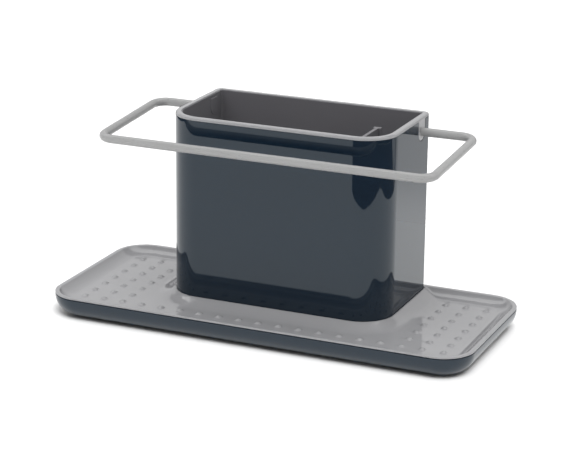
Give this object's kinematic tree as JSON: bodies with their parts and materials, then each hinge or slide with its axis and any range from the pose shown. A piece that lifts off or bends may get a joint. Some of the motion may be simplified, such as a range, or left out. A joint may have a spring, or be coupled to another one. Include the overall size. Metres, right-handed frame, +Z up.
{
  "type": "kitchen sink caddy",
  "caption": "Sink caddy: water tray with a dished, pimpled drip tray, and a deep container at the back with an inner liner, a capping rim and a hanging rail that swings up.",
  "frame": {"origin": "on the worktop, under the middle of the tray", "axes": "+X to the right along the tray's length, +Y to the back, where the container stands, +Z up"},
  "size_m": [0.309, 0.133, 0.1449],
  "materials": {
    "slate_gloss_plastic": "smooth moulded gloss, dark slate",
    "light_grey_plastic": "smooth moulded satin gloss, light grey",
    "dark_grey_plastic": "satin moulded, dark neutral grey",
    "grey_coated_steel": "light grey coated steel rod",
    "black_rubber": "matt soft rubber"
  },
  "bodies": {
    "base": {"base_tray": "slate_gloss_plastic", "foot_front_left": "black_rubber", "foot_front_right": "black_rubber", "foot_rear_left": "black_rubber", "foot_rear_right": "black_rubber"},
    "drip_insert": {"drip_tray": "light_grey_plastic"},
    "sleeve": {"body_sleeve": "slate_gloss_plastic"},
    "liner": {"inner_liner": "dark_grey_plastic", "rim_frame": "light_grey_plastic"},
    "rail": {"hanging_rail": "grey_coated_steel"}
  },
  "joints": [
    {"name": "drip_tray_lift", "type": "slide", "parent": "base", "child": "drip_insert", "axis": [0, 0, 1], "range_m": [0, 0.05]},
    {"name": "sleeve_lift", "type": "slide", "parent": "drip_insert", "child": "sleeve", "axis": [0, 0, 1], "range_m": [0, 0.05]},
    {"name": "liner_lift", "type": "slide", "parent": "sleeve", "child": "liner", "axis": [0, 0, 1], "range_m": [0, 0.125]},
    {"name": "rail_swing", "type": "hinge", "parent": "liner", "child": "rail", "pos_m": [0, 0.0466, 0.13455], "axis": [-1, 0, 0], "range_deg": [0, 90]}
  ]
}
